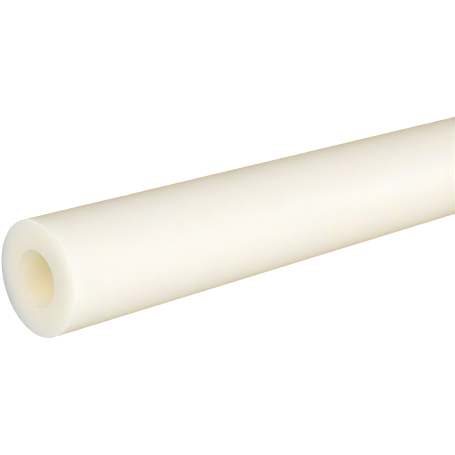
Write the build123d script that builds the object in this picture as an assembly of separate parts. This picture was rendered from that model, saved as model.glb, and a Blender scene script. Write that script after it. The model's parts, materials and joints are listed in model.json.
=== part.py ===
from build123d import *
import os

# Hollow bar of natural nylon: one length of thick-walled round stock with a through bore and both
# ends cut square. The bar stands on one cut end. The origin is the centre of that end, +Z runs up
# the bar's axis, and sizes are in millimetres.

# Driving dimensions
outer_diameter = 50.8  # nominal 2 in
bore_diameter = 24.4  # nominal 1 in, supplied under size so that it can be bored out to fit
bar_length = 304.8  # 1 ft
outer_edge_radius = 0.4  # rounding of the outer edge of each cut end
bore_edge_radius = 0.3  # rounding of the bore's edge at each cut end


def wall_section():
    """The wall cut through on one side of the axis: as tall as the bar, with rounded corners."""
    wall = (outer_diameter - bore_diameter) / 2
    with BuildSketch(Plane.XZ) as section:
        with Locations((bore_diameter / 2, 0)):
            Rectangle(wall, bar_length, align=(Align.MIN, Align.MIN))
        fillet(section.vertices().group_by(Axis.X)[-1], outer_edge_radius)
        fillet(section.vertices().group_by(Axis.X)[0], bore_edge_radius)
    return section.sketch


def hollow_bar():
    """The bar in one piece: its wall section turned once round the axis."""
    bar = revolve(wall_section(), Axis.Z)
    bar.label = "hollow_bar"
    return bar


os.makedirs("parts", exist_ok=True)
export_step(hollow_bar(), "parts/hollow_bar.step")
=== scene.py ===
"""Hollow bar of natural nylon, dressed and lit for a studio picture.

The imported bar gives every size. Its surface is rebuilt as a smooth mesh with a drawn outside, sawn
ends and a drawn bore, and it stands on a pale studio floor. Lengths are in metres.
"""

import json
import math

import bmesh
import bpy
from bpy.props import FloatProperty, FloatVectorProperty, IntProperty, PointerProperty
from bpy.types import Operator, Panel, PropertyGroup
from mathutils import Matrix, Vector


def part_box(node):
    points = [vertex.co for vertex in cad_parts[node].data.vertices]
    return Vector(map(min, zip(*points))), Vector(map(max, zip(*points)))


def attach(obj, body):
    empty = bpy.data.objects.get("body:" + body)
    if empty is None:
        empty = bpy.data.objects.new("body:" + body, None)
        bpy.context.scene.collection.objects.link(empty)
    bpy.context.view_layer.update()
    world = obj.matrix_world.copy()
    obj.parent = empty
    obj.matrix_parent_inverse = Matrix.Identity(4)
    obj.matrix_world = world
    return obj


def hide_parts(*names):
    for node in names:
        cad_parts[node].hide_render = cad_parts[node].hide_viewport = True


bl_info = {
    "name": "Hollow Nylon Bar",
    "version": (1, 0, 0),
    "blender": (4, 5, 0),
    "location": "View3D > Sidebar > Nylon Bar",
    "description": "Builds a length of natural nylon hollow bar and a pale studio round it",
    "category": "Object",
}

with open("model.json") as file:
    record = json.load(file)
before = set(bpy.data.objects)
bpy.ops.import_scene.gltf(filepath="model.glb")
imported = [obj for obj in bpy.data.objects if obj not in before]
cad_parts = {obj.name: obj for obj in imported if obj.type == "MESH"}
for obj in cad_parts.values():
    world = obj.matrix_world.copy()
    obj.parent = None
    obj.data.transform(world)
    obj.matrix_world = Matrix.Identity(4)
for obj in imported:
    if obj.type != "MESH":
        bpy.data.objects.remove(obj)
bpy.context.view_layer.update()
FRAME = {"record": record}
CAD_NODE = "hollow_bar"
BODY = "root"
FINISHES = ["drawn", "sawn", "bore"]

# Each lamp's heading from the front and its angle above its target, in degrees, then its distance
# from the target, and its own width and height.
LAMP_PLACES = {
    "key_lamp": ((-25, -5), 0.9, (0.5, 0.12)),
    "high_lamp": ((0, 46), 5.0, (3.0, 2.0)),
    "corner_lamp": ((45, 46), 5.0, (3.0, 2.0)),
    "left_lamp": ((-78, 32), 5.0, (3.0, 2.0)),
    "right_lamp": ((90, 40), 5.0, (3.0, 3.0)),
    "back_lamp": ((180, -2), 1.2, (0.5, 0.1)),
}
BACK_BEAM = 24  # degrees, so that little of it reaches the top end
WIDE_BEAM = 180
GLOSS_STRIP_PLACE = (-0.008, -0.36, 0.003)
GLOSS_STRIP_SPREAD = (0.06, 0.6)
FLOOR_RADIUS = 12.0
FLOOR_SEGMENTS = 96
SENSOR_WIDTH = 36.0  # millimetres
LIGHT_BOUNCES = 12  # enough for the light inside the bore


def packed_mount(name):
    """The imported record's mount of that name."""
    return next(mount for mount in FRAME["record"]["mounts"] if mount["name"] == name)


NODE_LOW, NODE_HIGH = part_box(CAD_NODE)
BAR_LENGTH = NODE_HIGH.z - NODE_LOW.z
OUTER_RADIUS = packed_mount("outside")["dims"]["r_mm"] / 1000
BORE_RADIUS = packed_mount("bore")["dims"]["r_mm"] / 1000
# Each mount's wall stops where the rounding of its edges begins, at both ends.
OUTER_ROUND = (BAR_LENGTH - packed_mount("outside")["dims"]["length_mm"] / 1000) / 2
BORE_ROUND = (BAR_LENGTH - packed_mount("bore")["dims"]["length_mm"] / 1000) / 2


class BarSizes(PropertyGroup):
    """Sizes of the bar and the fineness of its mesh."""

    length: FloatProperty(
        name="Length",
        description="Length from cut end to cut end",
        default=BAR_LENGTH,
        min=0.01,
        unit="LENGTH",
    )
    outer_radius: FloatProperty(
        name="Outer Radius",
        description="Radius of the outside",
        default=OUTER_RADIUS,
        min=0.001,
        unit="LENGTH",
    )
    bore_radius: FloatProperty(
        name="Bore Radius", description="Radius of the bore", default=BORE_RADIUS, min=0.001, unit="LENGTH"
    )
    outer_round: FloatProperty(
        name="Outer Edge",
        description="Rounding of each end's outer edge",
        default=OUTER_ROUND,
        unit="LENGTH",
    )
    bore_round: FloatProperty(
        name="Bore Edge", description="Rounding of each end's bore edge", default=BORE_ROUND, unit="LENGTH"
    )
    turns: IntProperty(name="Facets Round", description="Faces once round the bar", default=192, min=24)
    round_steps: IntProperty(
        name="Edge Steps", description="Faces across each rounded edge", default=8, min=2
    )
    ring_steps: IntProperty(name="Ring Steps", description="Faces across each cut end", default=8, min=1)
    length_steps: IntProperty(name="Length Steps", description="Faces along the bar", default=40, min=1)


class NylonFinish(PropertyGroup):
    """Colour, shine and surface marks of natural nylon."""

    drawn_colour: FloatVectorProperty(
        name="Drawn Colour", description="Outside", default=(0.94, 0.911, 0.905), subtype="COLOR", size=3
    )
    sawn_colour: FloatVectorProperty(
        name="Sawn Colour", description="Cut ends", default=(0.9, 0.84, 0.72), subtype="COLOR", size=3
    )
    # Painted shade: the deep gold stands in for the colour light takes as it bounces in the bore.
    deep_bore_colour_and_shade: FloatVectorProperty(
        name="Bore Colour",
        description="Wall deep in the bore",
        default=(0.995, 0.91, 0.69),
        subtype="COLOR",
        size=3,
    )
    # Painted light: the paler wall at the bore's mouth, where light comes in and through from the cut end.
    mouth_painted_light_colour: FloatVectorProperty(
        name="Mouth Colour",
        description="Wall at the bore's mouth",
        default=(0.94, 0.91, 0.84),
        subtype="COLOR",
        size=3,
    )
    # Painted shade: the rounded edges of the cut ends are painted darker than the cut ends themselves.
    edge_painted_shade_colour: FloatVectorProperty(
        name="Edge Colour",
        description="Worn rounding at the edges of the cut ends",
        default=(0.8, 0.74, 0.66),
        subtype="COLOR",
        size=3,
    )
    # Reach of the painted light at the bore's mouth.
    mouth_painted_light_reach: FloatProperty(
        name="Mouth Reach",
        description="How far down the bore its mouth's colour reaches",
        default=0.012,
        unit="LENGTH",
    )
    # Painted shade: the coat's tint darkens and warms the outside where it is seen edge-on.
    limb_shade_tint: FloatVectorProperty(
        name="Skin Tint",
        description="Colour of the clear skin on the outside",
        default=(0.962, 0.94, 0.885),
        subtype="COLOR",
        size=3,
    )
    # Painted light: a paler coat tint beside the cut ends, for light that comes through from them.
    painted_end_light_tint: FloatVectorProperty(
        name="End Tint",
        description="Colour of the clear skin beside the cut ends",
        default=(0.966, 0.955, 0.906),
        subtype="COLOR",
        size=3,
    )
    # Reach of the painted light beside the cut ends.
    painted_end_light_reach: FloatProperty(
        name="End Reach",
        description="How far along the outside the end tint reaches",
        default=0.012,
        unit="LENGTH",
    )
    # Refraction of the coat that carries the painted shade tint.
    limb_shade_coat_refraction: FloatProperty(
        name="Skin Refraction", description="Index of refraction of the clear skin", default=1.01, min=1
    )
    drawn_depth: FloatProperty(
        name="Drawn Depth",
        description="How far light soaks in through the outside",
        default=0.001,
        unit="LENGTH",
    )
    sawn_depth: FloatProperty(
        name="Sawn Depth",
        description="How far light soaks in through the cut ends",
        default=0.03,
        unit="LENGTH",
    )
    bore_depth: FloatProperty(
        name="Bore Depth",
        description="How far light soaks in through the bore",
        default=0.007,
        unit="LENGTH",
    )
    lip_depth: FloatProperty(
        name="Lip Depth",
        description="How far light soaks in at the bore's edge",
        default=0.0008,
        unit="LENGTH",
    )
    lip_width: FloatProperty(
        name="Lip Width",
        description="Ring round the bore where less light soaks in",
        default=0.008,
        unit="LENGTH",
    )
    depth_by_colour: FloatVectorProperty(
        name="Depth by Colour",
        description="Share of the depth for red, green and blue",
        default=(1.0, 0.8, 0.6),
    )
    refraction: FloatProperty(
        name="Refraction", description="Index of refraction of nylon", default=1.53, min=1
    )
    shine: FloatProperty(
        name="Shine",
        description="Level of the mirrored light",
        default=0.05,
        subtype="FACTOR",
        min=0,
        max=1,
    )
    drawn_roughness: FloatProperty(
        name="Drawn Roughness", description="Outside and bore", default=0.5, subtype="FACTOR", min=0, max=1
    )
    sawn_roughness: FloatProperty(
        name="Sawn Roughness", description="Cut ends", default=0.6, subtype="FACTOR", min=0, max=1
    )
    uneven_sheen: FloatProperty(
        name="Uneven Sheen",
        description="How much the roughness varies",
        default=0.06,
        subtype="FACTOR",
        min=0,
        max=1,
    )
    cloud_size: FloatProperty(
        name="Cloud Size",
        description="Width of the pale and dark clouds in the nylon",
        default=0.02,
        unit="LENGTH",
    )
    cloud: FloatProperty(
        name="Cloud",
        description="How much the clouds change the colour",
        default=0.006,
        subtype="FACTOR",
        min=0,
        max=1,
    )
    draw_line_width: FloatProperty(
        name="Draw Line Width",
        description="Width of the fine lines along the bar",
        default=0.0007,
        unit="LENGTH",
    )
    draw_line_length: FloatProperty(
        name="Draw Line Length",
        description="Length of the fine lines along the bar",
        default=0.08,
        unit="LENGTH",
    )
    draw_line_relief: FloatProperty(
        name="Draw Line Relief",
        description="Height of the fine lines along the bar",
        default=0.000008,
        unit="LENGTH",
    )
    saw_mark_width: FloatProperty(
        name="Saw Mark Width",
        description="Width of the saw's marks on the cut ends",
        default=0.0009,
        unit="LENGTH",
    )
    saw_mark_relief: FloatProperty(
        name="Saw Mark Relief", description="Height of the saw's marks", default=0.00001, unit="LENGTH"
    )
    saw_mark: FloatProperty(
        name="Saw Mark",
        description="How much the saw's marks change the colour",
        default=0.012,
        subtype="FACTOR",
        min=0,
    )
    saw_centre: FloatVectorProperty(
        name="Saw Centre",
        description="Middle of the saw blade, from the bar's axis",
        default=(0.11, 0.16, 0.0),
        subtype="TRANSLATION",
        unit="LENGTH",
    )


class Studio(PropertyGroup):
    """Camera, lamps and surroundings."""

    camera_from_top: FloatVectorProperty(
        name="Camera Place",
        description="From the centre of the top end to the camera",
        default=(-0.00028, -0.50754, 0.32944),
        subtype="TRANSLATION",
        unit="LENGTH",
    )
    camera_dip: FloatProperty(
        name="Camera Dip",
        description="Angle below the horizon",
        default=math.radians(40.818),
        unit="ROTATION",
    )
    camera_roll: FloatProperty(
        name="Camera Roll",
        description="Turn about the line of sight",
        default=math.radians(-105.278),
        unit="ROTATION",
    )
    lens: FloatProperty(name="Lens", description="Focal length in millimetres", default=114.03)
    key_power: FloatProperty(
        name="Key Power", description="Low lamp close in front", default=1.9, unit="POWER"
    )
    key_colour: FloatVectorProperty(
        name="Key Colour",
        description="Low lamp close in front",
        default=(1.0, 1.0, 1.0),
        subtype="COLOR",
        size=3,
    )
    high_power: FloatProperty(
        name="High Power", description="High lamp in front", default=88.0, unit="POWER"
    )
    corner_power: FloatProperty(
        name="Corner Power", description="High lamp front right", default=66.0, unit="POWER"
    )
    left_power: FloatProperty(name="Left Power", description="Lamp on the left", default=60.5, unit="POWER")
    right_power: FloatProperty(
        name="Right Power", description="Lamp on the right", default=45.0, unit="POWER"
    )
    back_power: FloatProperty(
        name="Back Power", description="Low narrow lamp behind", default=0.25, unit="POWER"
    )
    high_colour: FloatVectorProperty(
        name="High Colour", description="High lamps", default=(1.0, 1.0, 1.0), subtype="COLOR", size=3
    )
    side_colour: FloatVectorProperty(
        name="Side Colour",
        description="Lamps at the sides and behind",
        default=(1.0, 0.99, 0.98),
        subtype="COLOR",
        size=3,
    )
    gloss_power: FloatProperty(
        name="Gloss Power",
        description="Strip on the floor that only shines on gloss",
        default=2.8,
        unit="POWER",
    )
    gloss_colour: FloatVectorProperty(
        name="Gloss Colour",
        description="Strip on the floor",
        default=(0.3, 0.45, 1.0),
        subtype="COLOR",
        size=3,
    )
    surround_colour: FloatVectorProperty(
        name="Surround Colour",
        description="Light from all round",
        default=(0.2, 0.2, 0.2),
        subtype="COLOR",
        size=3,
    )
    floor_colour: FloatVectorProperty(
        name="Floor Colour",
        description="Colour of the floor",
        default=(0.8, 0.8, 0.8),
        subtype="COLOR",
        size=3,
    )
    floor_glow: FloatProperty(
        name="Floor Glow",
        description="White that the floor adds in the picture",
        default=0.52,
        min=0,
        max=1,
    )


def section_outline(sizes):
    """Stations round the wall's section, closed, each as (radius, height, outward normal, finish)."""
    half_pi = math.pi / 2
    outer, bore, top = sizes.outer_radius, sizes.bore_radius, sizes.length
    outer_round, bore_round, steps = sizes.outer_round, sizes.bore_round, sizes.round_steps

    def straight(start, end, count, normal, finish):
        """Stations from start to just before end."""
        share = [i / count for i in range(count)]
        return [(*(a + (b - a) * s for a, b in zip(start, end)), normal, finish) for s in share]

    def rounded(centre, radius, first_angle, finish):
        """Stations along a quarter circle, to just before its end."""
        found = []
        for i in range(steps):
            angle = first_angle + half_pi * i / steps
            normal = (math.cos(angle), math.sin(angle))
            found.append((centre[0] + radius * normal[0], centre[1] + radius * normal[1], normal, finish))
        return found

    outer_flat, bore_flat = outer - outer_round, bore + bore_round
    outer_top, bore_top = top - outer_round, top - bore_round
    outline = rounded((outer_flat, outer_round), outer_round, -half_pi, "sawn")
    outline += straight((outer, outer_round), (outer, outer_top), sizes.length_steps, (1, 0), "drawn")
    outline += rounded((outer_flat, outer_top), outer_round, 0.0, "sawn")
    outline += straight((outer_flat, top), (bore_flat, top), sizes.ring_steps, (0, 1), "sawn")
    outline += rounded((bore_flat, bore_top), bore_round, half_pi, "sawn")
    outline += straight((bore, bore_top), (bore, bore_round), sizes.length_steps, (-1, 0), "bore")
    outline += rounded((bore_flat, bore_round), bore_round, math.pi, "sawn")
    outline += straight((bore_flat, 0), (outer_flat, 0), sizes.ring_steps, (0, -1), "sawn")
    return outline


def spin_mesh(name, outline, turns):
    """A mesh made by turning the outline once round Z, with the outline's own normals."""
    mesh = bpy.data.meshes.new(name)
    build = bmesh.new()
    rings, normals = [], []
    for turn in range(turns):
        angle = 2 * math.pi * turn / turns
        cos, sin = math.cos(angle), math.sin(angle)
        rings.append([build.verts.new((r * cos, r * sin, z)) for r, z, _, _ in outline])
        normals += [(n[0] * cos, n[0] * sin, n[1]) for _, _, n, _ in outline]
    for turn in range(turns):
        here, there = rings[turn], rings[(turn + 1) % turns]
        for i, station in enumerate(outline):
            j = (i + 1) % len(outline)
            face = build.faces.new((here[i], there[i], there[j], here[j]))
            face.material_index = FINISHES.index(station[3])
            face.smooth = True
    build.to_mesh(mesh)
    build.free()
    mesh.normals_split_custom_set_from_vertices(normals)
    return mesh


def add_node(tree, kind, settings=None, **inputs):
    """A new shader node. Each input is a value or another node's output socket."""
    node = tree.nodes.new(kind)
    for key, value in (settings or {}).items():
        setattr(node, key, value)
    for key, value in inputs.items():
        socket = node.inputs[int(key[1:]) if key[0] == "i" and key[1:].isdigit() else key.replace("_", " ")]
        if isinstance(value, bpy.types.NodeSocket):
            tree.links.new(value, socket)
        else:
            socket.default_value = value
    return node


def sum_of(tree, operation, first, second=0.0):
    """The result of one sum on two values."""
    return add_node(tree, "ShaderNodeMath", {"operation": operation}, i0=first, i1=second).outputs[0]


def vector_sum(tree, operation, first, second=(0, 0, 0)):
    """The node for one sum on two vectors."""
    return add_node(tree, "ShaderNodeVectorMath", {"operation": operation}, i0=first, i1=second)


def varied(tree, value, middle, spread):
    """Middle plus or minus spread, as the value goes from 0 to 1."""
    low, high = middle - spread, middle + spread
    return add_node(tree, "ShaderNodeMapRange", Value=value, To_Min=low, To_Max=high).outputs["Result"]


def noise(tree, place, size, detail=2.0):
    """Smooth noise from 0 to 1, with features about as wide as the size."""
    made = add_node(tree, "ShaderNodeTexNoise", Vector=place, Scale=1 / size, Detail=detail)
    return made.outputs[0]


def object_place(tree):
    """Where the shaded point is in the bar's own space."""
    return add_node(tree, "ShaderNodeTexCoord").outputs["Object"]


def from_axis(tree, place, axis=(0, 0, 0)):
    """Distance from an upright axis."""
    offset = vector_sum(tree, "SUBTRACT", place, axis).outputs[0]
    level = vector_sum(tree, "MULTIPLY", offset, (1, 1, 0)).outputs[0]
    return vector_sum(tree, "LENGTH", level).outputs["Value"]


def from_nearer_end(tree, place, length):
    """Distance along the bar from the nearer cut end."""
    height = add_node(tree, "ShaderNodeSeparateXYZ", Vector=place).outputs["Z"]
    off_middle = sum_of(tree, "ABSOLUTE", sum_of(tree, "SUBTRACT", height, length / 2))
    return sum_of(tree, "SUBTRACT", length / 2, off_middle)


def eased(tree, value, start, end, low, high):
    """Low before the start and high after the end, with a smooth change between them."""
    smooth = {"interpolation_type": "SMOOTHSTEP"}
    ends = {"From_Min": start, "From_Max": end, "To_Min": low, "To_Max": high}
    return add_node(tree, "ShaderNodeMapRange", smooth, Value=value, **ends).outputs["Result"]


def blend(tree, share, first, second):
    """The first colour where the share is 0 and the second where it is 1."""
    return add_node(tree, "ShaderNodeMix", {"data_type": "RGBA"}, i0=share, i6=first, i7=second).outputs[2]


def nylon_material(name, finish, roughness, light_depth):
    """Natural nylon without its colour: milky and satin, with light that soaks in as far as the depth."""
    material = bpy.data.materials.new(name)
    material.use_nodes = True
    shader = material.node_tree.nodes["Principled BSDF"]
    shader.inputs["Roughness"].default_value = roughness
    shader.inputs["IOR"].default_value = finish.refraction
    shader.inputs["Specular IOR Level"].default_value = finish.shine
    shader.subsurface_method = "RANDOM_WALK"
    shader.inputs["Subsurface Weight"].default_value = 1.0
    shader.inputs["Subsurface Radius"].default_value = finish.depth_by_colour
    shader.inputs["Subsurface Scale"].default_value = light_depth
    return material


def tint(tree, finish, place, colour, marks=None):
    """Give the nylon its colour, with faint clouds in it and any marks on top."""
    shade = varied(tree, noise(tree, place, finish.cloud_size), 1.0, finish.cloud)
    if marks is not None:
        shade = sum_of(tree, "MULTIPLY", shade, marks)
    clouded = add_node(tree, "ShaderNodeVectorMath", {"operation": "SCALE"}, i0=colour, Scale=shade)
    tree.links.new(clouded.outputs[0], tree.nodes["Principled BSDF"].inputs["Base Color"])


def roughen(tree, finish, value, roughness):
    """Make the satin sheen uneven where the value varies."""
    uneven = varied(tree, value, roughness, finish.uneven_sheen)
    tree.links.new(uneven, tree.nodes["Principled BSDF"].inputs["Roughness"])


def raise_marks(tree, height, relief):
    """Raise marks on the surface. The height goes from 0 to 1, and the relief is in metres."""
    bump = add_node(tree, "ShaderNodeBump", Height=height, Distance=relief)
    tree.links.new(bump.outputs["Normal"], tree.nodes["Principled BSDF"].inputs["Normal"])


def draw_lines(tree, finish, place):
    """Fine lines along the bar, as the die and the mandrel leave them."""
    stretch = (1, 1, finish.draw_line_width / finish.draw_line_length)
    stretched = vector_sum(tree, "MULTIPLY", place, stretch).outputs[0]
    return noise(tree, stretched, finish.draw_line_width, detail=1.0)


def drawn_nylon(finish, sizes):
    """The outside: smooth from the die, with faint lines along the bar and a tinted clear coat.

    The coat's tint is painted shade, darker and warmer where the sides are seen edge-on, and it is painted
    paler beside the cut ends as painted light coming through from them.
    """
    material = nylon_material("drawn_nylon", finish, finish.drawn_roughness, finish.drawn_depth)
    tree = material.node_tree
    shade_coat = tree.nodes["Principled BSDF"].inputs
    shade_coat["Coat Weight"].default_value = 1.0
    shade_coat["Coat IOR"].default_value = finish.limb_shade_coat_refraction
    shade_coat["Coat Roughness"].default_value = finish.drawn_roughness
    place = object_place(tree)
    inside = from_nearer_end(tree, place, sizes.length)
    # Painted light beside the cut ends and painted shade seen edge-on, both carried by the coat's tint.
    painted_end_light = eased(tree, inside, 0.0, finish.painted_end_light_reach, 0.0, 1.0)
    limb_shade_and_end_light = blend(tree, painted_end_light, (*finish.painted_end_light_tint, 1), (*finish.limb_shade_tint, 1))
    tree.links.new(limb_shade_and_end_light, shade_coat["Coat Tint"])
    lines = draw_lines(tree, finish, place)
    tint(tree, finish, place, finish.drawn_colour)
    roughen(tree, finish, lines, finish.drawn_roughness)
    raise_marks(tree, lines, finish.draw_line_relief)
    return material


def sawn_nylon(finish, sizes):
    """The cut ends and their edges: duller, with faint arcs from the saw, light deep inside, and painted
    shade that darkens the rounded edges.
    """
    material = nylon_material("sawn_nylon", finish, finish.sawn_roughness, finish.sawn_depth)
    tree = material.node_tree
    place = object_place(tree)
    radius = from_axis(tree, place)
    outer, bore = sizes.outer_radius, sizes.bore_radius
    # Painted shade, darkest on the rounded edges and fading onto the flat of each cut end.
    outer_edge_shade = eased(tree, radius, outer - sizes.outer_round, outer, 0.0, 1.0)
    bore_edge_shade = eased(tree, radius, bore, bore + sizes.bore_round, 1.0, 0.0)
    edge_shade = sum_of(tree, "ADD", outer_edge_shade, bore_edge_shade)
    colour = blend(tree, edge_shade, (*finish.sawn_colour, 1), (*finish.edge_painted_shade_colour, 1))
    across = add_node(tree, "ShaderNodeCombineXYZ", X=from_axis(tree, place, finish.saw_centre)).outputs[0]
    arcs = noise(tree, across, finish.saw_mark_width)
    tint(tree, finish, place, colour, varied(tree, arcs, 1.0, finish.saw_mark))
    roughen(tree, finish, arcs, finish.sawn_roughness)
    raise_marks(tree, arcs, finish.saw_mark_relief)
    depth = eased(tree, radius, bore, bore + finish.lip_width, finish.lip_depth, finish.sawn_depth)
    tree.links.new(depth, tree.nodes["Principled BSDF"].inputs["Subsurface Scale"])
    return material


def bore_nylon(finish, sizes):
    """The bore's wall, with faint lines along the bar: paler at its mouth as painted light, and golden
    further in as painted shade of the light that bounces in the bore.
    """
    material = nylon_material("bore_nylon", finish, finish.drawn_roughness, finish.bore_depth)
    tree = material.node_tree
    place = object_place(tree)
    inside = from_nearer_end(tree, place, sizes.length)
    # Painted light at the mouth, fading to painted golden shade further in.
    painted_bore_shade = eased(tree, inside, 0.0, finish.mouth_painted_light_reach, 0.0, 1.0)
    colour = blend(tree, painted_bore_shade, (*finish.mouth_painted_light_colour, 1), (*finish.deep_bore_colour_and_shade, 1))
    lines = draw_lines(tree, finish, place)
    tint(tree, finish, place, colour)
    roughen(tree, finish, lines, finish.drawn_roughness)
    raise_marks(tree, lines, finish.draw_line_relief)
    return material


def picture_rays(tree):
    """1 for the rays that show a surface in the picture, its mirror images included, and 0 for light."""
    path = add_node(tree, "ShaderNodeLightPath")
    either = sum_of(tree, "MAXIMUM", path.outputs["Is Camera Ray"], path.outputs["Is Glossy Ray"])
    return sum_of(tree, "MAXIMUM", either, path.outputs["Is Transmission Ray"])


def link_object(name, data):
    """A new object in the scene's own collection."""
    made = bpy.data.objects.new(name, data)
    bpy.context.scene.collection.objects.link(made)
    return made


def studio_floor(studio):
    """A wide pale floor that shows white and keeps the bar's shadow."""
    build = bmesh.new()
    bmesh.ops.create_circle(build, cap_ends=True, segments=FLOOR_SEGMENTS, radius=FLOOR_RADIUS)
    mesh = bpy.data.meshes.new("studio_floor")
    build.to_mesh(mesh)
    build.free()
    material = bpy.data.materials.new("studio_floor")
    material.use_nodes = True
    tree = material.node_tree
    tree.nodes.clear()
    paper = add_node(tree, "ShaderNodeBsdfDiffuse", Color=(*studio.floor_colour, 1))
    glow = sum_of(tree, "MULTIPLY", picture_rays(tree), studio.floor_glow)
    white = add_node(tree, "ShaderNodeEmission", Color=(1, 1, 1, 1), Strength=glow)
    both = add_node(tree, "ShaderNodeAddShader", i0=paper.outputs[0], i1=white.outputs[0])
    add_node(tree, "ShaderNodeOutputMaterial", Surface=both.outputs[0])
    mesh.materials.append(material)
    floor = link_object("studio_floor", mesh)
    return floor


def studio_world(studio):
    """Soft light from all round, which shows as plain white in the picture."""
    world = bpy.data.worlds.new("studio_world")
    bpy.context.scene.world = world
    world.use_nodes = True
    tree = world.node_tree
    tree.nodes.clear()
    light = add_node(tree, "ShaderNodeBackground", Color=(*studio.surround_colour, 1), Strength=1.0)
    white = add_node(tree, "ShaderNodeBackground", Color=(1, 1, 1, 1), Strength=1.0)
    shown = picture_rays(tree)
    mix = add_node(tree, "ShaderNodeMixShader", Fac=shown, i1=light.outputs[0], i2=white.outputs[0])
    add_node(tree, "ShaderNodeOutputWorld", Surface=mix.outputs[0])


def lamp_object(name, spread, power, colour):
    """A lamp with a plain flat face, which itself never shows."""
    data = bpy.data.lights.new(name, "AREA")
    data.shape = "RECTANGLE"
    data.size, data.size_y = spread
    data.energy = power
    data.color = colour
    lamp = link_object(name, data)
    lamp.visible_camera = False
    return lamp


def soft_lamp(name, power, colour, target, beam=WIDE_BEAM):
    """The lamp of that name in its place, facing the target."""
    direction, distance, spread = LAMP_PLACES[name]
    heading, height = (math.radians(angle) for angle in direction)
    level = math.cos(height)
    away = Vector((math.sin(heading) * level, -math.cos(heading) * level, math.sin(height)))
    lamp = lamp_object(name, spread, power, colour)
    lamp.data.spread = math.radians(beam)
    lamp.location = target + away * distance
    lamp.rotation_euler = (-away).to_track_quat("-Z", "Y").to_euler()
    return lamp


def gloss_strip(studio):
    """A strip on the floor in front, facing up, that only puts a cool shine along the bar."""
    lamp = lamp_object("gloss_strip", GLOSS_STRIP_SPREAD, studio.gloss_power, studio.gloss_colour)
    lamp.location = GLOSS_STRIP_PLACE
    lamp.rotation_euler = (math.pi, 0, 0)
    lamp.visible_diffuse = False
    lamp.visible_transmission = False
    lamp.visible_volume_scatter = False
    return lamp


def studio_camera(studio, top_centre):
    """The camera at the photograph's place and angle."""
    data = bpy.data.cameras.new("studio_camera")
    data.sensor_width = SENSOR_WIDTH
    data.lens = studio.lens
    camera = link_object("studio_camera", data)
    level = Matrix.Rotation(math.pi / 2 - studio.camera_dip, 4, "X")
    place = Matrix.Translation(top_centre + Vector(studio.camera_from_top))
    camera.matrix_world = place @ level @ Matrix.Rotation(studio.camera_roll, 4, "Z")
    bpy.context.scene.camera = camera
    return camera


class NYLONBAR_OT_build_bar(Operator):
    """Build the bar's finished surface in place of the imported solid"""

    bl_idname = "nylon_bar.build_bar"
    bl_label = "Build Bar"

    def execute(self, context):
        sizes = context.scene.nylon_bar_sizes
        finish = context.scene.nylon_bar_finish
        mesh = spin_mesh("nylon_bar", section_outline(sizes), sizes.turns)
        for material in (drawn_nylon(finish, sizes), sawn_nylon(finish, sizes), bore_nylon(finish, sizes)):
            mesh.materials.append(material)
        bar = link_object("nylon_bar", mesh)
        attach(bar, BODY)
        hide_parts(CAD_NODE)
        return {"FINISHED"}


class NYLONBAR_OT_set_stage(Operator):
    """Set the floor, the surroundings, the lamps and the camera"""

    bl_idname = "nylon_bar.set_stage"
    bl_label = "Set Stage"

    def execute(self, context):
        studio = context.scene.nylon_bar_studio
        length = context.scene.nylon_bar_sizes.length
        studio_floor(studio)
        studio_world(studio)
        lamps = {
            "key_lamp": (studio.key_power, studio.key_colour),
            "high_lamp": (studio.high_power, studio.high_colour),
            "corner_lamp": (studio.corner_power, studio.high_colour),
            "left_lamp": (studio.left_power, studio.side_colour),
            "right_lamp": (studio.right_power, studio.side_colour),
        }
        for name, (power, colour) in lamps.items():
            soft_lamp(name, power, colour, Vector((0, 0, length / 2)))
        soft_lamp("back_lamp", studio.back_power, studio.side_colour, Vector((0, 0, length / 4)), BACK_BEAM)
        gloss_strip(studio)
        studio_camera(studio, Vector((0, 0, length)))
        context.scene.view_settings.view_transform = "Standard"
        context.scene.cycles.diffuse_bounces = LIGHT_BOUNCES
        return {"FINISHED"}


class NYLONBAR_PT_panel(Panel):
    """Sizes, finish and stage of the bar"""

    bl_label = "Nylon Bar"
    bl_idname = "NYLONBAR_PT_panel"
    bl_space_type = "VIEW_3D"
    bl_region_type = "UI"
    bl_category = "Nylon Bar"

    def draw(self, context):
        for group_name in SCENE_GROUPS:
            group = getattr(context.scene, group_name)
            box = self.layout.box()
            for prop in group.bl_rna.properties:
                if prop.identifier not in {"rna_type", "name"}:
                    box.prop(group, prop.identifier)
        self.layout.operator(NYLONBAR_OT_build_bar.bl_idname)
        self.layout.operator(NYLONBAR_OT_set_stage.bl_idname)


SCENE_GROUPS = {"nylon_bar_sizes": BarSizes, "nylon_bar_finish": NylonFinish, "nylon_bar_studio": Studio}
CLASSES = (BarSizes, NylonFinish, Studio, NYLONBAR_OT_build_bar, NYLONBAR_OT_set_stage, NYLONBAR_PT_panel)


def register():
    for cls in CLASSES:
        bpy.utils.register_class(cls)
    for name, group in SCENE_GROUPS.items():
        setattr(bpy.types.Scene, name, PointerProperty(type=group))


def unregister():
    for name in SCENE_GROUPS:
        delattr(bpy.types.Scene, name)
    for cls in reversed(CLASSES):
        bpy.utils.unregister_class(cls)


def main():
    register()
    bpy.ops.nylon_bar.build_bar()
    bpy.ops.nylon_bar.set_stage()


if __name__ == "__main__":
    main()
